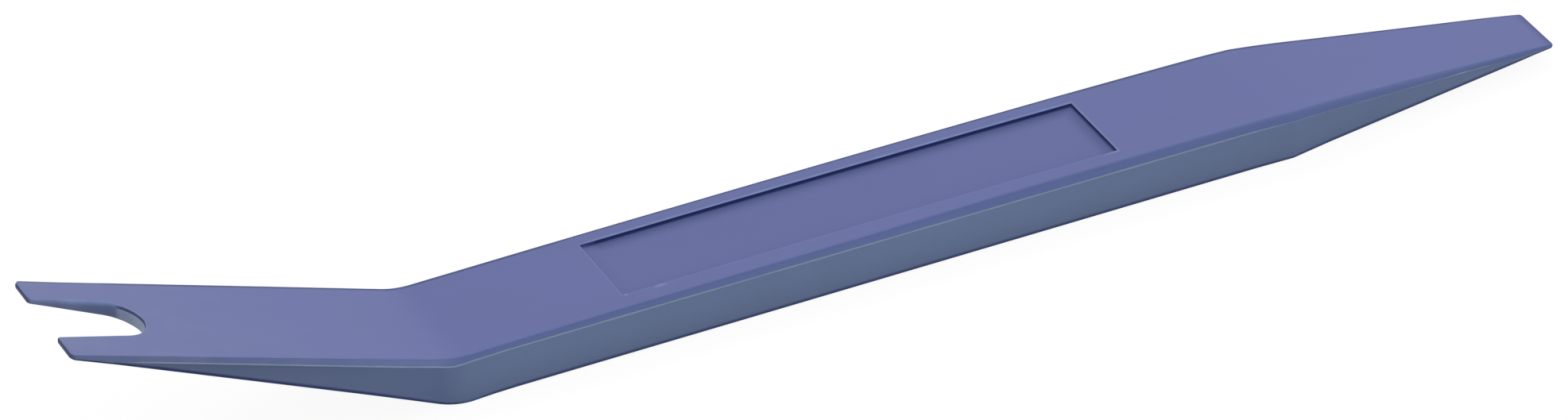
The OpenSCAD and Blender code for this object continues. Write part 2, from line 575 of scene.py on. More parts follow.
@dataclass(frozen=True)
class PlanView:
    """One half of the tool's outline from above, drawn on the near side, from the fork to the wedge."""

    side: SideView
    half_width: float
    wedge_tip_width: float = 10.1 * MM
    tine_corner: float = 0.8 * MM
    mouth_corner: float = 0.55 * MM
    wedge_corner: float = 0.6 * MM
    tip_ease: float = 0.2 * MM
    tip_ease_length: float = 8.0 * MM
    slot_depth: float = 14.5 * MM
    slot_width: float = 8.5 * MM
    slot_mouth_width: float = 9.9 * MM
    lean_step: float = 0.02 * MM
    corner_rows: int = 6
    wall_rows: int = 10
    round_rows: int = 16
    slot_margin: float = 1.3 * MM
    recess_margin: float = 0.4 * MM
    shoulder_margin: float = 0.3 * MM
    least_row: float = 0.04 * MM
    row_digits: int = 7

    @property
    def taper(self) -> float:
        """Angle by which the wedge's side turns inwards."""
        return math.atan2(self.half_width - self.wedge_tip_width / 2, self.side.wedge_length)

    @property
    def slot_end(self) -> float:
        """Innermost place of the slot."""
        return self.side.fork_tip + self.slot_depth

    @property
    def slot_centre(self) -> float:
        """Middle of the slot's round end."""
        return self.slot_end - self.slot_width / 2

    @property
    def flare(self) -> float:
        """Angle at which the slot opens towards its mouth, on each side."""
        opening = (self.slot_mouth_width - self.slot_width) / 2
        return math.atan2(opening, self.slot_centre - self.side.fork_tip)

    @property
    def tip_lean(self) -> float:
        """Angle by which the side turns inwards at the wedge's corner."""
        return float(self.lean_at(np.array(self.side.wedge_tip - self.wedge_corner)))

    def width_at(self, x: Array) -> Array:
        """Half of the tool's width at places along it."""
        near_tip = np.maximum(x - self.side.wedge_tip + self.tip_ease_length, 0.0) / self.tip_ease_length
        straight = self.half_width - np.maximum(x - self.side.shoulder, 0.0) * math.tan(self.taper)
        return straight - self.tip_ease * near_tip ** 2

    def lean_at(self, x: Array) -> Array:
        """Angle by which the side turns inwards at places along the tool."""
        fall = self.width_at(x - self.lean_step) - self.width_at(x + self.lean_step)
        return np.arctan(fall / (2 * self.lean_step))

    def long_rows(self, recess: "Recess") -> Array:
        """Places of the rows between the slot and the wedge's corners, closer where a face bends.

        Args:
            recess: the sunk panel, whose rim needs rows of its own.

        Returns:
            The places along the tool, in order.
        """
        side = self.side
        bend_start, bend_end = side.bend + side.hollow.start, side.bend + side.hollow.setback
        heel_start, heel_end = side.bend + side.heel.start, side.bend + side.heel.setback
        ease_start, ease_end = side.shoulder - side.shoulder_ease, side.shoulder + side.shoulder_ease
        tip_start = side.wedge_tip - self.tip_ease_length
        tip_end = side.wedge_tip - self.wedge_corner * (1 - math.sin(self.tip_lean))
        # Each stretch is its first place, its last place and its number of rows.
        stretches = (
            (self.slot_end + self.slot_margin, bend_start, 14),
            (bend_start, bend_end, 15),
            (heel_start, heel_end, 15),
            (heel_end, recess.rim_start, 8),
            (recess.rim_start, recess.rim_end, 30),
            (recess.rim_end, ease_start, 8),
            (ease_start, ease_end, 21),
            (ease_end, tip_start, 12),
            (tip_start, tip_end, 8),
            (recess.start - self.recess_margin, recess.end + self.recess_margin, 2),
            (side.shoulder - self.shoulder_margin, side.shoulder + self.shoulder_margin, 2),
        )
        spans = [np.linspace(*stretch) for stretch in stretches]
        places = np.unique(np.concatenate(spans).round(self.row_digits))
        return places[np.concatenate([[True], np.diff(places) > self.least_row])]

    def outer(self, rows: Array) -> Outline:
        """The near side, from the tine's tip to the wedge's tip.

        Args:
            rows: places of the long rows.

        Returns:
            The points of the side and the unit vectors from it into the plastic.
        """
        side, tine, corner, lean = self.side, self.tine_corner, self.wedge_corner, self.tip_lean
        fork = arc((side.fork_tip + tine, -self.half_width + tine), tine,
                   np.linspace(0.0, QUARTER_TURN, self.corner_rows + 1))
        wall_end = self.slot_centre + self.slot_width / 2 * math.sin(self.flare)
        wall = np.linspace(side.fork_tip + tine, wall_end, self.wall_rows + 1)[1:]
        round_end = np.linspace(wall_end, self.slot_end, self.round_rows + 1)[1:]
        x = np.concatenate([wall, round_end, rows[:-1]])
        straight = ((x, -self.width_at(x)), (-np.sin(self.lean_at(x)), np.cos(self.lean_at(x))))
        corner_x = side.wedge_tip - corner
        corner_width = self.width_at(np.array(corner_x + corner * math.sin(lean)))
        wedge = arc((corner_x, -corner_width + corner * math.cos(lean)), corner,
                    np.linspace(QUARTER_TURN + lean, math.pi, self.corner_rows + 1))
        return joined(fork, straight, wedge)

    def slot(self) -> Outline:
        """The slot's near wall, from the tine's tip to the slot's end on the middle line.

        Returns:
            The points of the wall and the unit vectors from it into the plastic.
        """
        flare, radius, corner = self.flare, self.slot_width / 2, self.mouth_corner
        tangent_x = self.slot_centre + radius * math.sin(flare)
        tangent_y = -radius * math.cos(flare)
        wall_x = self.side.fork_tip + corner - corner * math.sin(flare)
        wall_y = tangent_y - (tangent_x - wall_x) * math.tan(flare)
        mouth = arc((self.side.fork_tip + corner, wall_y - corner * math.cos(flare)), corner,
                    np.linspace(0.0, flare - QUARTER_TURN, self.corner_rows + 1))
        share = np.linspace(0.0, 1.0, self.wall_rows + 1)[1:]
        ones = np.ones_like(share)
        wall = ((wall_x + (tangent_x - wall_x) * share, wall_y + (tangent_y - wall_y) * share),
                (math.sin(flare) * ones, -math.cos(flare) * ones))
        round_end = arc((self.slot_centre, 0.0), -radius,
                        np.linspace(flare - QUARTER_TURN, 0.0, self.round_rows + 1)[1:])
        return joined(mouth, wall, round_end)


class RecessRing(NamedTuple):
    """One ring of the recess's wall: offset outwards, depth, and its marks."""

    outwards: float
    drop: float
    rim: float
    grime: float


@dataclass(frozen=True)
class Recess:
    """The sunk panel in the handle's top, a plain rectangle with a softened rim.

    Its painted rim highlight and its painted shade are given for its fork end, its long side and its
    wedge end. The floor's shaded rings are distances in millimetres from the wall's foot, each with the
    painted shade there.
    """

    start: float
    end: float
    half_width: float
    depth: float = 0.46 * MM
    draft: float = 0.04 * MM
    rim_radius: float = 0.1 * MM
    floor_radius: float = 0.1 * MM
    rim_highlight_width: float = 0.45 * MM
    shaded: tuple[tuple[float, float], ...] = ((0.12, 0.46), (0.8, 0.45), (1.4, 0.29), (2.3, 0.11))
    floor_painted_shade: float = 0.085
    painted_shade_power: int = 4
    rim_highlights: tuple[float, float, float] = (0.3, 1.0, 1.0)
    shading: tuple[float, float, float] = (0.1, 1.0, 0.8)
    rim_rings: int = 5
    floor_rings: int = 4

    @property
    def rim_start(self) -> float:
        """Where the rim starts, towards the fork."""
        return self.start - self.rim_radius

    @property
    def rim_end(self) -> float:
        """Where the rim ends, towards the wedge."""
        return self.end + self.rim_radius

    def rings(self) -> list[RecessRing]:
        """The rings from the handle's top to the floor.

        Returns:
            The rounded rim, the wall's rounded foot, and the rings of the floor that lie in shade.
        """
        rings = []
        for turn in np.linspace(0.0, QUARTER_TURN, self.rim_rings):
            outwards = self.rim_radius * (1 - math.sin(turn))
            drop = self.rim_radius * (1 - math.cos(turn))
            # The rim's top takes the painted highlight, and painted shade grows towards the wall.
            rings.append(RecessRing(outwards, drop, math.cos(turn), math.sin(turn) ** self.painted_shade_power))
        for turn in np.linspace(0.0, QUARTER_TURN, self.floor_rings):
            inwards = self.draft + self.floor_radius * (1 - math.cos(turn))
            drop = self.depth - self.floor_radius * (1 - math.sin(turn))
            rings.append(RecessRing(-inwards, drop, 0.0, 1.0))
        foot = rings[-1].outwards
        for inwards, grime in self.shaded:
            rings.append(RecessRing(foot - inwards * MM, self.depth, 0.0, grime))
        return rings

    def painted_shade_on(self, ring: RecessRing, shading: float) -> float:
        """Painted shade on a ring's stretch with its own shading, below the rim at least the floor's."""
        if ring.drop <= self.rim_radius:
            return ring.grime
        return self.floor_painted_shade + max(ring.grime - self.floor_painted_shade, 0.0) * shading


class Zone(Enum):
    """Which part of the edge's cross-section a ring lies on."""

    FALL = 0
    WALL_HEAD = 1
    WALL_FOOT = 2


class Edge(Enum):
    """Which stretch of the outline a point lies on."""

    SIDE = 0
    TIP = 1
    SLOT = 2


class RimRing(NamedTuple):
    """One ring of the edge: its inset, and its distance from the top or, at the foot, the underside."""

    inset: Array
    away: Array
    zone: Zone


@dataclass(frozen=True)
class Rim:
    """Cross-section of the tool's edge: fallen top edge, land, parting ledge, wall and bottom edge.

    Profiles of lengths are in millimetres. The ledge's room and heights are multiples of its edge.
    """

    fall_width: Profile
    fall_depth: Profile
    slot_fall: Profile = Profile((-46.0, -41.7), (0.5, 0.4))
    side_flatness: Profile = Profile((100.0, 136.0), (0.6, 0.25))
    bottom_radius: Profile = Profile((-12.0, -2.0, 2.0, 4.0, 7.0, 128.0, 133.8, 140.0),
                                     (0.45, 0.2, 0.05, 0.05, 0.5, 0.45, 0.25, 0.5))
    tip_fall: float = 0.22 * MM
    tip_flatness: float = 0.6
    tip_bottom_radius: float = 0.14 * MM
    slot_flatness: float = 0.15
    slot_bottom_radius: float = 0.35 * MM
    land: float = 0.06 * MM
    ledge_step: float = 0.08 * MM
    ledge_edge: float = 0.03 * MM
    ledge_room: float = 4.0
    ledge_heights: tuple[float, ...] = (1.5, 3.0)
    foot_line: float = 0.42 * MM
    fall_rings: int = 9
    bottom_rings: int = 7
    thickness_share: float = 0.92

    @property
    def foot_start(self) -> int:
        """Number of rings above the bottom edge: those of the fall, land, ledge and foot line."""
        return self.fall_rings + 1 + 1 + len(self.ledge_heights) + 1

    @property
    def ring_count(self) -> int:
        """Number of rings from the top face to the underside."""
        return self.foot_start + self.bottom_rings

    def at(self, edge: Edge, along: Array) -> dict[str, Array]:
        """Sizes of the cross-section on one kind of edge.

        Args:
            edge: the stretch of the outline.
            along: places along the tool from the bend.

        Returns:
            The sizes by name, one value for each place.
        """
        same = np.ones_like(along)
        if edge is Edge.SIDE:
            return {"width": self.fall_width.at(along) * MM, "depth": self.fall_depth.at(along) * MM,
                    "flat": self.side_flatness.at(along), "step": self.ledge_step * same,
                    "bottom": self.bottom_radius.at(along) * MM}
        if edge is Edge.TIP:
            fall, flat, bottom = self.tip_fall, self.tip_flatness, self.tip_bottom_radius
        else:
            fall = self.slot_fall.at(along) * MM
            flat, bottom = self.slot_flatness, self.slot_bottom_radius
        return {"width": fall * same, "depth": fall * same, "flat": flat * same, "step": 0 * same,
                "bottom": bottom * same}

    def rings(self, sizes: dict[str, Array], thickness: Array) -> list[RimRing]:
        """Rings of the edge from the top face to the underside.

        Args:
            sizes: the cross-section's sizes at each point of the outline.
            thickness: the tool's thickness at each point.

        Returns:
            The rings, in order.
        """
        ledge = sizes["depth"] + self.land
        need = ledge + self.ledge_room * self.ledge_edge + sizes["bottom"]
        fit = np.minimum(1.0, self.thickness_share * thickness / need)
        width, depth, step = sizes["width"] * fit, sizes["depth"] * fit, sizes["step"] * fit
        bottom, ledge, edge = sizes["bottom"] * fit, ledge * fit, self.ledge_edge * fit
        rings = []
        for share in np.linspace(0.0, 1.0, self.fall_rings):
            turn = share * QUARTER_TURN
            inset = (1 - sizes["flat"]) * (1 - math.sin(turn)) + sizes["flat"] * (1 - share)
            drop = (1 - sizes["flat"]) * (1 - math.cos(turn)) + sizes["flat"] * share
            rings.append(RimRing(width * inset, depth * drop, Zone.FALL))
        rings.append(RimRing(0 * width, ledge, Zone.FALL))
        rings.append(RimRing(np.minimum(edge, step), ledge + edge, Zone.WALL_HEAD))
        for height in self.ledge_heights:
            rings.append(RimRing(step, ledge + height * edge, Zone.WALL_HEAD))
        line = np.minimum(self.foot_line, (thickness - need * fit) / 2)
        rings.append(RimRing(step, bottom + line, Zone.WALL_FOOT))
        for turn in np.linspace(0.0, QUARTER_TURN, self.bottom_rings):
            inset = step + bottom * (1 - math.cos(turn))
            rings.append(RimRing(inset, bottom * (1 - math.sin(turn)), Zone.WALL_FOOT))
        return rings


@dataclass
class HalfBody:
    """One half of the bar, laid out in rows along it and columns from its side to the middle line.

    Its painted shade, painted highlights, painted reflection, sheen and wear are shares from 0 to 1. The
    rim's rings are counted from the top face.
    """

    side: SideView
    plan: PlanView
    rim: Rim
    recess: Recess
    columns: tuple[float, ...] = (0.0, 0.03, 0.06, 0.18, 0.31, 0.34, 0.66, 1.0)
    recess_column: int = 5
    recess_slack: float = 0.6 * MM
    arm: Profile = Profile((-2.0, 2.0), (1.0, 0.0))
    # The arm's fallen edge is paler, partly rubbing and partly painted highlight; its side takes painted
    # shade.
    arm_highlight_and_rub: float = 0.30
    arm_painted_shade: float = 0.26
    # The tines pale towards their tips, partly wear and partly painted sheen; their end faces take
    # painted shade.
    tine_sheen_and_wear: float = 0.33
    tine_sheen_and_wear_power: float = 1.5
    tip_painted_shade: float = 0.8
    tip_painted_shade_after: int = 3
    # The slot's walls are lifted as painted light, its round end holds a painted reflection, and a line
    # of painted shade runs along it.
    slot_painted_light: float = 1.0
    slot_painted_reflection: float = 0.95
    reflection_from: float = 1.9 * MM
    reflection_over: float = 0.5 * MM
    slot_line: float = 0.74
    slot_line_after: int = 4
    # Painted shade along the foot, under the ledge, along the far crest and at the wedge's tip.
    foot_painted_shade: float = 0.95
    foot_rings: int = 4
    ledge_painted_shade: float = 0.10
    crest_painted_shade: float = 0.0
    crest_fade: float = 0.7
    wedge_tip_painted_shade: float = 0.8
    wedge_tip_line: float = 0.5 * MM
    points: list[Place] = field(default_factory=list)
    faces: list[tuple[int, ...]] = field(default_factory=list)
    marks: dict[Mark, list[float]] = field(default_factory=lambda: {mark: [] for mark in Mark})

    def build(self) -> None:
        """Fills the lists of points, faces and marks."""
        outer, slot = self.plan.outer(self.plan.long_rows(self.recess)), self.plan.slot()
        outer_y, slot_y = outer[0][1], slot[0][1]
        last, slot_last = len(outer_y) - 1, len(slot_y) - 1
        share = np.array(self.columns)
        across = len(share) - 1
        ones, zeros = np.ones(across), np.zeros(across)
        tip_y = outer_y[0] + (slot_y[0] - outer_y[0]) * share
        end_y = outer_y[-1] * (1 - share)

        # The outline runs from the wedge's tip along the side to the fork's tip and into the slot.
        wedge_end = ((self.side.wedge_tip * ones, end_y[:0:-1]), (-ones, zeros))
        near_side = tuple(tuple(values[::-1] for values in part) for part in outer)
        fork_end = ((self.side.fork_tip * ones[1:], tip_y[1:-1]), (ones[1:], zeros[1:]))
        loop, inwards = joined(wedge_end, near_side, fork_end, slot)
        fork = across + last
        inner = fork + across
        rings = self._loop_rings(loop, inwards, self._edge_shares(len(loop[0]), across, fork, inner))

        def on_loop(row: int, column: int) -> Optional[int]:
            """Place on the outline of a corner of the row and column grid.

            Args:
                row: the corner's row.
                column: the corner's column.

            Returns:
                The place, or None for a corner inside the outline.
            """
            if row == last:
                return across - column
            if column == 0:
                return fork - row
            if row == 0:
                return fork + column
            return inner + row if column == across and row <= slot_last else None

        self._face_grid(rings[0], on_loop, last, True)
        self._face_grid(rings[-1], on_loop, last, False)

    def _edge_shares(self, count: int, wedge: int, fork: int, slot: int) -> dict[Edge, Array]:
        """How far each point of the outline belongs to each kind of edge, eased round the corners.

        Args:
            count: the number of points.
            wedge: where the side starts, at the wedge's tip.
            fork: where the side ends, at the fork's tip.
            slot: where the slot's wall starts.

        Returns:
            For each kind of edge, a share from 0 to 1 for each point.
        """
        turn = self.plan.corner_rows
        places = [0, wedge, wedge + turn, fork - turn, fork, slot, slot + turn, count - 1]
        weights = {
            Edge.TIP: [1, 1, 0, 0, 1, 1, 0, 0],
            Edge.SIDE: [0, 0, 1, 1, 0, 0, 0, 0],
            Edge.SLOT: [0, 0, 0, 0, 0, 0, 1, 1],
        }
        return {edge: np.interp(np.arange(count), places, weights[edge]) for edge in Edge}

    def _loop_rings(self, loop: Plan, inwards: Plan, shares: dict[Edge, Array]) -> list[list[int]]:
        """Adds the rim's rings and the faces between them.

        Args:
            loop: the outline's points from above.
            inwards: the unit vectors from them into the plastic.
            shares: how far each point belongs to each kind of edge.

        Returns:
            The numbers of each ring's points.
        """
        along = loop[0] - self.side.bend
        by_edge = {edge: self.rim.at(edge, along) for edge in Edge}
        sizes = {key: sum(shares[edge] * by_edge[edge][key] for edge in Edge)
                 for key in by_edge[Edge.SIDE]}
        thickness = self.side.top(loop[0]) - self.side.underside(loop[0])
        # The painted reflection lies deep in the slot's round end.
        past_start = loop[0] - self.plan.slot_centre - self.reflection_from
        in_round = np.clip(past_start / self.reflection_over, 0.0, 1.0) * shares[Edge.SLOT]
        rings = []
        for inset, away, zone in self.rim.rings(sizes, thickness):
            x, y = loop[0] + inset * inwards[0], loop[1] + inset * inwards[1]
            if zone is Zone.WALL_FOOT:
                z = self.side.underside(x) + away
            else:
                z = self.side.top(x) - away * self.side.steepness(x)
            first = len(self.points)
            self.points.extend(zip(x.tolist(), y.tolist(), z.tolist()))
            rings.append(list(range(first, len(self.points))))
            marks = self._ring_marks(len(rings), zone, shares, self.arm.at(along), in_round)
            marks[Mark.WORN] = self._tine_sheen_and_wear(x)
            for mark, values in marks.items():
                self.marks[mark].extend(values.tolist())
        for upper, lower in zip(rings, rings[1:]):
            self._band(upper, lower)
        return rings

    def _ring_marks(self, number: int, zone: Zone, shares: dict[Edge, Array], on_arm: Array,
                    in_round: Array) -> dict[Mark, Array]:
        """Painted highlights, the painted reflection and painted shade on one ring of the rim, with some
        rubbing.

        Args:
            number: the ring's number, from 1 at the top face.
            zone: the part of the cross-section that it lies on.
            shares: how far each point belongs to each kind of edge.
            on_arm: 1 for points on the arm and 0 for those on the handle.
            in_round: 1 for points deep in the slot's round end, else 0.

        Returns:
            The marks, one value for each point.
        """
        side, tip, slot = shares[Edge.SIDE], shares[Edge.TIP], shares[Edge.SLOT]
        underneath = number == self.rim.ring_count
        upright = number > 1 and not underneath
        fallen = zone is Zone.FALL and number > 1
        below = zone is not Zone.FALL and not underneath
        in_line = zone is Zone.FALL and self.slot_line_after < number <= self.rim.fall_rings
        at_foot = 0 < number - self.rim.foot_start <= self.foot_rings
        at_tip = number > self.tip_painted_shade_after and not underneath
        crest = side * self.crest_painted_shade + tip * (1 - on_arm) * self.wedge_tip_painted_shade
        # Painted shade: the slot's line, the foot, the crest, the wedge's tip, under the ledge, the arm's
        # side and the tines' ends.
        grime = (in_round * in_line * self.slot_line + side * at_foot * self.foot_painted_shade
                 + crest * (number == 1) + side * (zone is Zone.WALL_HEAD) * self.ledge_painted_shade
                 + side * on_arm * below * self.arm_painted_shade + tip * on_arm * at_tip * self.tip_painted_shade)
        return {
            # The fallen edge and the slot's walls take the darker copy of the colour: painted shade.
            Mark.FALL: side * fallen + slot * upright,
            Mark.RIM: side * on_arm * fallen * self.arm_highlight_and_rub + slot * upright * self.slot_painted_light,
            Mark.SCRAPED: in_round * below * self.slot_painted_reflection,
            Mark.GRIME: grime,
            Mark.LOWER: np.maximum(side * below, underneath),
        }

    def _tine_sheen_and_wear(self, x: Array) -> Array:
        """Paling of the arm, partly wear and partly painted sheen, which grows from the bend to the tips
        of the tines.
        """
        share = np.clip((self.side.bend - x) / (self.side.bend - self.side.fork_tip), 0.0, 1.0)
        return self.tine_sheen_and_wear * share ** self.tine_sheen_and_wear_power

    def _band(self, upper: list[int], lower: list[int]) -> None:
        """Adds the faces between two rings."""
        for k in range(len(upper) - 1):
            self.faces.append((upper[k], upper[k + 1], lower[k + 1], lower[k]))

    def _cell(self, numbers: Any, row: int, column: int) -> None:
        """Adds the face between two rows and two columns of a grid of points."""
        corners = ((row, column), (row + 1, column), (row + 1, column + 1), (row, column + 1))
        self.faces.append(tuple(int(numbers[corner]) for corner in corners))

    def _add(self, place: Place, marks: dict[Mark, float]) -> int:
        """Adds one point away from the outline.

        Args:
            place: where the point lies.
            marks: its painted highlight, painted shade or the lower half's colour, where it has any.

        Returns:
            The point's number.
        """
        marks = {**marks, Mark.WORN: float(self._tine_sheen_and_wear(np.array(place[0])))}
        for mark in Mark:
            self.marks[mark].append(marks.get(mark, 0.0))
        self.points.append(place)
        return len(self.points) - 1

    def _face_grid(self, ring: list[int], on_loop: Callable[[int, int], Optional[int]], last: int,
                   is_top: bool) -> None:
        """Fills the top face or the underside between the outline and the middle line.

        Args:
            ring: the numbers of the outline's points on this face.
            on_loop: tells a corner's place on the outline from its row and column.
            last: the last row.
            is_top: whether this is the top face.
        """
        height = self.side.top if is_top else self.side.underside
        across = len(self.columns) - 1
        grid = np.full((last + 1, across + 1), -1)
        for row in range(last + 1):
            near = self.points[ring[on_loop(row, 0)]]
            inner = on_loop(row, across)
            far = (near[0], 0.0, 0.0) if inner is None else self.points[ring[inner]]
            for column, share in enumerate(self.columns):
                known = on_loop(row, column)
                if known is not None:
                    grid[row, column] = ring[known]
                    continue
                x, y = near[0] + (far[0] - near[0]) * share, near[1] + (far[1] - near[1]) * share
                if is_top and self._in_recess(near[0]):
                    y = self._recess_y(near[1], column)
                marks = {Mark.GRIME: self._top_painted_shade(x, column)} if is_top else {Mark.LOWER: 1.0}
                grid[row, column] = self._add((x, y, float(height(np.array(x)))), marks)
        hole = self._recess_rows(grid) if is_top else range(0)
        for row in range(last):
            for column in range(across):
                if column < self.recess_column or row not in hole:
                    self._cell(grid, row, column)
        if is_top:
            self._sink_recess(grid, hole.start, hole.stop)

    def _top_painted_shade(self, x: float, column: int) -> float:
        """Painted shade on a point of the top face, along the crest, in column 1, or close to the wedge's
        tip.
        """
        crest = self.crest_painted_shade * self.crest_fade if column == 1 else 0.0
        from_tip = self.side.wedge_tip - self.rim.tip_fall - x
        return max(crest, self.wedge_tip_painted_shade * (1 - from_tip / self.wedge_tip_line))

    def _in_recess(self, x: float) -> bool:
        """Whether a row crosses the recess or runs close by its rim."""
        return self.recess.rim_start - self.recess_slack <= x <= self.recess.rim_end + self.recess_slack

    def _recess_y(self, near: float, column: int) -> float:
        """Distance from the middle line of a column on a row that crosses the recess.

        Args:
            near: the distance of the row's first column.
            column: the column.

        Returns:
            The distance, below 0 on the near side.
        """
        rim = -(self.recess.half_width + self.recess.rim_radius)
        share, middle = self.columns[column], self.columns[self.recess_column]
        if column == self.recess_column - 1:
            return rim - self.recess.rim_highlight_width
        if column < self.recess_column:
            return near + (rim - near) * share / middle
        return rim * (1 - share) / (1 - middle)

    def _recess_rows(self, grid: Array) -> range:
        """The rows from the recess's first rim up to its last one."""
        x = np.array([self.points[number][0] for number in grid[:, self.recess_column]])
        ends = (self.recess.rim_start, self.recess.rim_end)
        return range(*(int(np.argmin(abs(x - end))) for end in ends))

    def _sink_recess(self, grid: Array, first: int, last: int) -> None:
        """Adds the rim, walls and floor of the recess inside its opening.

        Args:
            grid: the numbers of the top face's points, by row and column.
            first: the row of the rim towards the fork.
            last: the row of the rim towards the wedge.
        """
        recess, edge, middle = self.recess, self.recess_column, len(self.columns) - 1
        path = [(first, column) for column in range(middle, edge, -1)]
        path += [(row, edge) for row in range(first, last + 1)]
        path += [(last, column) for column in range(edge + 1, middle + 1)]
        stretches = [0 if row == first else 2 if row == last else 1 for row, _ in path]
        previous = [int(grid[corner]) for corner in path]
        for number, stretch in zip(previous, stretches):
            # Painted highlight along the recess's rim, for each stretch.
            self.marks[Mark.RIM][number] = recess.rim_highlights[stretch]
        for step in recess.rings()[1:]:
            ring = []
            for (row, column), stretch in zip(path, stretches):
                x, y, _ = self.points[grid[row, column]]
                x = recess.start - step.outwards if row == first else x
                x = recess.end + step.outwards if row == last else x
                y = -(recess.half_width + step.outwards) if column == edge else y
                # Painted shade in the recess, different on each stretch.
                grime = recess.painted_shade_on(step, recess.shading[stretch])
                ring.append(self._sunk(x, y, step.drop, step.rim * recess.rim_highlights[stretch], grime))
            self._band(previous, ring)
            previous = ring
        floor = dict(zip(path, previous))
        for row in range(first, last + 1):
            for column in range(edge, middle + 1):
                if (row, column) not in floor:
                    x, y, _ = self.points[grid[row, column]]
                    floor[row, column] = self._sunk(x, y, recess.depth, 0.0, recess.floor_painted_shade)
        for row in range(first, last):
            for column in range(edge, middle):
                self._cell(floor, row, column)

    def _sunk(self, x: float, y: float, drop: float, rim: float, grime: float) -> int:
        """Adds a point below the handle's top, with its painted highlight and painted shade, and returns
        its number.
        """
        z = float(self.side.top(np.array(x))) - drop
        return self._add((x, y, z), {Mark.RIM: rim, Mark.GRIME: grime})


@dataclass(frozen=True)
class ToolBody:
    """The one moulded bar, joined from a near and a far half along its middle line."""

    near: HalfBody
    far: HalfBody
    flat_weight: int = 60

    def build(self, name: str, material: Material) -> Piece:
        """Makes the bar.

        Args:
            name: what the piece is called.
            material: its finish.

        Returns:
            The piece, at the origin.
        """
        self.near.build()
        self.far.build()
        near, far = np.array(self.near.points), np.array(self.far.points) * [1, -1, 1]
        on_middle = np.abs(near[:, 1]) < SAME_PLACE
        near[on_middle, 1] = 0.0
        twin = np.where(on_middle, np.arange(len(near)), len(near) + np.cumsum(~on_middle) - 1)
        points = np.vstack([near, far[~on_middle]])
        faces = self.near.faces + [tuple(int(twin[k]) for k in reversed(face)) for face in self.far.faces]
        used = np.unique(np.concatenate([np.array(face) for face in faces]))
        renumber = np.full(len(points), -1)
        renumber[used] = np.arange(len(used))
        mesh = bpy.data.meshes.new(name)
        mesh.from_pydata(points[used].tolist(), [], [[int(renumber[k]) for k in face] for face in faces])
        for mark in Mark:
            values = np.concatenate([self.near.marks[mark], np.array(self.far.marks[mark])[~on_middle]])
            mesh.attributes.new(mark.value, "FLOAT", "POINT").data.foreach_set("value", values[used])
        mesh.materials.append(material)
        mesh.validate()
        piece = placed(name, mesh)
        self._orient(mesh)
        mesh.shade_smooth()
        weighted = piece.modifiers.new("flat_faces", "WEIGHTED_NORMAL")
        weighted.mode = "FACE_AREA"
        weighted.weight = self.flat_weight
        return applied(piece)

    @staticmethod
    def _orient(mesh: bpy.types.Mesh) -> None:
        """Turns every face outwards.

        Args:
            mesh: the mesh to change.
        """
        work = bmesh.new()
        work.from_mesh(mesh)
        bmesh.ops.recalc_face_normals(work, faces=work.faces)
        work.to_mesh(mesh)
        work.free()


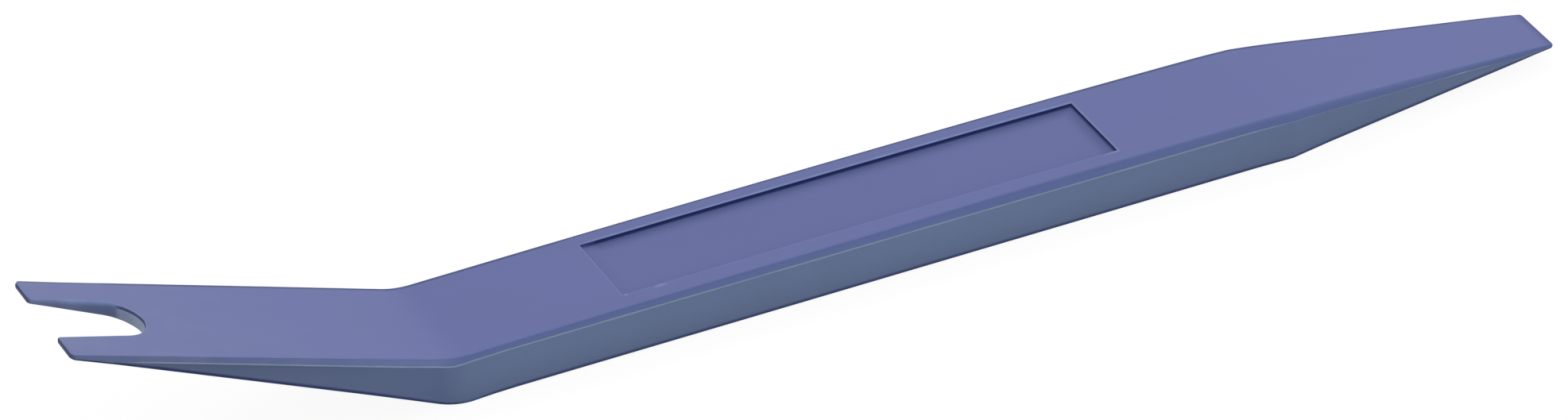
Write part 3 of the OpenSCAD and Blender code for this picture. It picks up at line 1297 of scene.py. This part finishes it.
@dataclass(frozen=True)
class PartingFlash:
    """The hair of plastic along each side where the mould's halves met, thinning out towards the tips."""

    side: SideView
    plan: PlanView
    rim: Rim
    start: float = -53.0 * MM
    end: float = 177.0 * MM
    radius: float = 0.15 * MM
    sunk: float = 0.1 * MM
    hidden: Profile = Profile((122.0, 138.0, 158.0, 166.0), (0.0, 0.06, 0.06, 0.03))
    # The flash pales towards the fork, partly scraped plastic and partly painted highlight.
    flash_paling: Profile = Profile((-30.0, 0.0, 40.0), (0.22, 0.10, 0.0))
    unevenness: float = 0.4
    wave_scale: float = 160.0
    wave_detail: float = 3.0
    fork_taper: float = 0.03
    wedge_taper: float = 0.04
    seed: int = 7
    stations: int = 260
    ring_points: int = 8

    def build(self, name: str, material: Material) -> Piece:
        """Makes both flashes.

        Args:
            name: what the piece is called.
            material: its finish.

        Returns:
            The piece, at the origin.
        """
        along = np.linspace(self.start, self.end, self.stations)
        x = along + self.side.bend
        drop = (self.rim.at(Edge.SIDE, along)["depth"] + self.rim.land) * self.side.steepness(x)
        z = self.side.top(x) - drop
        out = self.plan.width_at(x) - self.sunk - self.hidden.at(along) * MM
        points = [tuple(map(float, point)) for hand in (-1, 1) for point in zip(x, hand * out, z)]
        edges = [(k, k + 1) for k in range(len(points) - 1) if k != self.stations - 1]
        mesh = bpy.data.meshes.new(name)
        mesh.from_pydata(points, edges, [])
        flash_paling = np.tile(self.flash_paling.at(along), 2)
        mesh.attributes.new(Mark.SCRAPED.value, "FLOAT", "POINT").data.foreach_set("value", flash_paling)
        piece = placed(name, mesh)
        sizes = {"Radius": self.radius, "Unevenness": self.unevenness, "Wave Scale": self.wave_scale,
                 "Fork Taper": self.fork_taper, "Wedge Taper": self.wedge_taper, "Seed": float(self.seed)}
        tree, inputs = self._tree(material, sizes)
        modifier = piece.modifiers.new("parting_flash", "NODES")
        modifier.node_group = tree
        for label, value in sizes.items():
            modifier[inputs[label]] = value
        piece = applied(piece)
        piece.data.shade_smooth()
        return piece

    def _tree(self, material: Material,
              sizes: dict[str, float]) -> tuple[bpy.types.NodeTree, dict[str, str]]:
        """Builds the node tree that draws a thread of varying thickness along a line.

        Args:
            material: the thread's finish.
            sizes: the tree's inputs, by name.

        Returns:
            The tree, and the identifiers of its inputs by name.
        """
        tree = bpy.data.node_groups.new("parting_flash", "GeometryNodeTree")
        tree.interface.new_socket("Geometry", in_out="INPUT", socket_type="NodeSocketGeometry")
        inputs = {}
        for label in sizes:
            socket = tree.interface.new_socket(label, in_out="INPUT", socket_type="NodeSocketFloat")
            inputs[label] = socket.identifier
        tree.interface.new_socket("Geometry", in_out="OUTPUT", socket_type="NodeSocketGeometry")
        nodes = NodeBuilder(tree)
        group = nodes.add("NodeGroupInput")
        radius, unevenness, wave_scale, fork_taper, wedge_taper, seed = (
            nodes.out(group, label) for label in sizes)
        curve = nodes.add("GeometryNodeMeshToCurve", sockets={"Mesh": group.outputs["Geometry"]})
        share = nodes.out(nodes.add("GeometryNodeSplineParameter"), "Factor")
        place = nodes.add("GeometryNodeInputPosition").outputs[0]
        wave = nodes.out(nodes.add("ShaderNodeTexNoise", {"noise_dimensions": "4D"}, {
            "Vector": place, "W": seed, "Scale": wave_scale, "Detail": self.wave_detail}))
        swell = 1.0 + (wave - 0.5) * 2.0 * unevenness
        taper = (share / fork_taper).at_most((1.0 - share) / wedge_taper).at_most(1.0)
        sized = nodes.add("GeometryNodeSetCurveRadius", sockets={
            "Curve": curve.outputs[0], "Radius": radius * swell * taper})
        ring = nodes.add("GeometryNodeCurvePrimitiveCircle", {"mode": "RADIUS"}, {
            "Resolution": self.ring_points, "Radius": 1.0})
        thread = nodes.add("GeometryNodeCurveToMesh", sockets={
            "Curve": sized.outputs[0], "Profile Curve": ring.outputs[0], "Fill Caps": True,
            "Scale": nodes.add("GeometryNodeInputRadius").outputs[0]})
        whole = nodes.add("GeometryNodeRealizeInstances", sockets={"Geometry": thread.outputs[0]})
        dressed = nodes.add("GeometryNodeSetMaterial", sockets={
            "Geometry": whole.outputs[0], "Material": material})
        nodes.add("NodeGroupOutput", sockets={"Geometry": dressed.outputs[0]})
        return tree, inputs


@dataclass(frozen=True)
class Lamp:
    """One soft rectangular lamp."""

    name: str
    place: Place
    size: tuple[float, float]
    power: float
    aim: Place = (0.0, 0.0, 0.0)
    spread: float = math.pi

    def build(self) -> None:
        """Makes the lamp and turns it towards its aim."""
        light = bpy.data.lights.new(self.name, "AREA")
        light.shape = "RECTANGLE"
        light.size, light.size_y = self.size
        light.spread = self.spread
        light.energy = self.power
        lamp = placed(self.name, light)
        lamp.location = self.place
        away = Vector(self.place) - Vector(self.aim)
        lamp.rotation_euler = away.to_track_quat("Z", "Y").to_euler()
        lamp.visible_glossy = False
        lamp.visible_camera = False


@dataclass(frozen=True)
class Studio:
    """Pale floor, soft light and the camera."""

    floor_size: float = 6.0
    sky_front: float = 0.30
    sky_back: float = 0.95
    sky_brightest: Place = (0.25, 0.45, 0.857)
    sky_colour: Colour = (1.0, 0.985, 1.0)
    azimuth: float = math.radians(-27.3056)
    elevation: float = math.radians(34.298)
    distance: float = 1184.46 * MM
    aim_height: float = 5.0 * MM
    aim_right: float = -5.342 * MM
    aim_up: float = 2.0267 * MM
    pixels_per_metre: float = 8898.7
    sensor_width: float = 36.0
    clips: tuple[float, float] = (0.05, 20.0)
    lamps: tuple[Lamp, ...] = (
        Lamp("back_lamp", (0.60, 0.80, 0.88), (0.5, 0.5), 4.7),
        Lamp("paper_lamp", (-0.01, -0.04, 0.12), (0.16, 0.04), 0.014, aim=(-0.01, -0.04, 0.0),
             spread=math.radians(10.0)),
        Lamp("side_lamp", (-0.03, -1.20, 0.075), (0.30, 0.11), 0.265, aim=(-0.03, 0.0, 0.004),
             spread=math.radians(60.0)),
    )

    def build(self) -> None:
        """Makes the floor, the world, the lamps and the camera."""
        self._floor()
        self._world()
        for lamp in self.lamps:
            lamp.build()
        self._camera()
        bpy.context.scene.view_settings.view_transform = "Standard"

    def _floor(self) -> None:
        """Lays the paper under the tool."""
        half = self.floor_size / 2
        corners = [(-half, -half, 0), (half, -half, 0), (half, half, 0), (-half, half, 0)]
        mesh = bpy.data.meshes.new("studio_floor")
        mesh.from_pydata(corners, [], [range(len(corners))])
        mesh.materials.append(StudioPaper().build("studio_paper"))
        floor = placed("studio_floor", mesh)

    def _world(self) -> None:
        """Lights the scene softly from all round, with a white background."""
        world = bpy.data.worlds.new("studio_world")
        world.use_nodes = True
        bpy.context.scene.world = world
        nodes = NodeBuilder(world.node_tree)
        facing = nodes.add("ShaderNodeVectorMath", {"operation": "DOT_PRODUCT"},
                           {0: nodes.place("Generated"), 1: self.sky_brightest})
        sky = self.sky_front + self.sky_back * nodes.out(facing, "Value").at_least(0.0)
        seen = nodes.seen()
        back = nodes.add("ShaderNodeBackground", sockets={
            "Color": nodes.blended(seen, (*self.sky_colour, 1.0), WHITE),
            "Strength": seen + (1.0 - seen) * sky})
        nodes.add("ShaderNodeOutputWorld", sockets={"Surface": back.outputs[0]})

    def _camera(self) -> None:
        """Stands the camera where the photograph was taken from."""
        data = bpy.data.cameras.new("studio_camera")
        data.sensor_fit = "HORIZONTAL"
        data.sensor_width = self.sensor_width
        data.lens = self.pixels_per_metre * self.distance / PHOTO_WIDTH * self.sensor_width
        data.clip_start, data.clip_end = self.clips
        back = Vector((math.sin(self.azimuth) * math.cos(self.elevation),
                       -math.cos(self.azimuth) * math.cos(self.elevation), math.sin(self.elevation)))
        right = Vector((math.cos(self.azimuth), math.sin(self.azimuth), 0.0))
        up = back.cross(right)
        camera = placed("studio_camera", data)
        turn = Matrix((right, up, back)).transposed().to_4x4()
        aim = Vector((0, 0, self.aim_height)) + self.aim_right * right + self.aim_up * up
        camera.matrix_world = Matrix.Translation(aim + self.distance * back) @ turn
        bpy.context.scene.camera = camera


# Distance from the bend, then the top edge's fall there: depth, near width and far width, all in mm.
EDGE_STATIONS = (
    (-40.0, 0.90, 0.04, 0.30),
    (-20.0, 1.02, 0.08, 0.36),
    (-8.0, 1.07, 0.12, 0.42),
    (-2.3, 1.00, 0.22, 0.44),
    (0.0, 1.14, 0.25, 0.44),
    (2.3, 0.92, 0.29, 0.45),
    (8.0, 0.82, 0.36, 0.46),
    (20.0, 0.90, 0.41, 0.44),
    (43.0, 1.06, 0.41, 0.44),
    (65.0, 1.15, 0.42, 0.40),
    (88.0, 1.14, 0.86, 0.33),
    (104.0, 1.10, 0.92, 0.30),
    (124.0, 1.00, 1.00, 0.38),
    (134.0, 0.98, 1.05, 0.45),
    (149.0, 0.84, 1.00, 0.54),
    (161.0, 0.60, 0.85, 0.54),
    (168.0, 0.50, 0.60, 0.50),
    (175.0, 0.50, 0.50, 0.40),
    (178.0, 0.42, 0.35, 0.30),
)


def halves(low: Vector, high: Vector) -> tuple[HalfBody, HalfBody]:
    """Lays out the near and the far half of the bar, which differ a little.

    Args:
        low: the lowest corner of the solid's box.
        high: its highest corner.

    Returns:
        The near half and the far half, not yet built.
    """
    flash_room = 0.085 * MM
    side = SideView(fork_tip=low.x, wedge_tip=high.x)
    near_plan = PlanView(side=side, half_width=high.y - flash_room)
    far_plan = replace(near_plan, wedge_tip_width=9.4 * MM, tip_ease=0.4 * MM)
    along, depths, near_widths, far_widths = zip(*EDGE_STATIONS)
    far_rim = Rim(fall_width=Profile(along, far_widths), fall_depth=Profile(along, depths))
    near_rim = replace(far_rim, fall_width=Profile(along, near_widths),
                       slot_fall=far_rim.slot_fall._replace(values=(0.2, 0.4)))
    middle = side.bend + side.handle_length / 2
    far_recess = Recess(start=middle - 39.3 * MM, end=middle + 39.4 * MM, half_width=7.1 * MM)
    near_recess = replace(far_recess, half_width=6.5 * MM, rim_highlights=(0.3, 0.12, 1.0),
                          shading=(0.1, 0.15, 0.8))
    near = HalfBody(side, near_plan, near_rim, near_recess)
    far = HalfBody(side, far_plan, far_rim, far_recess, crest_painted_shade=0.85)
    return near, far


def main() -> None:
    """Builds the tool and its studio, and reports each piece."""
    logging.basicConfig(level=logging.INFO, format="%(name)s: %(message)s")
    low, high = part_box(NODE)
    near, far = halves(low, high)
    plastic = MouldedPlastic().build(SLOT)
    # The flash's paler plastic stands partly for rubbed plastic and partly for a painted highlight along
    # the thread.
    pale_plastic = MouldedPlastic(colour=(0.195, 0.25, 0.345)).build("scuffed_and_highlit_plastic")

    body = ToolBody(near, far).build("tool_body", plastic)
    flash = PartingFlash(near.side, near.plan, near.rim).build("parting_flash", pale_plastic)
    for piece in (body, flash):
        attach(piece, BODY)
        log.info("%s: %d faces", piece.name, len(piece.data.polygons))
    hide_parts(NODE)
    Studio().build()


if __name__ == "__main__":
    main()
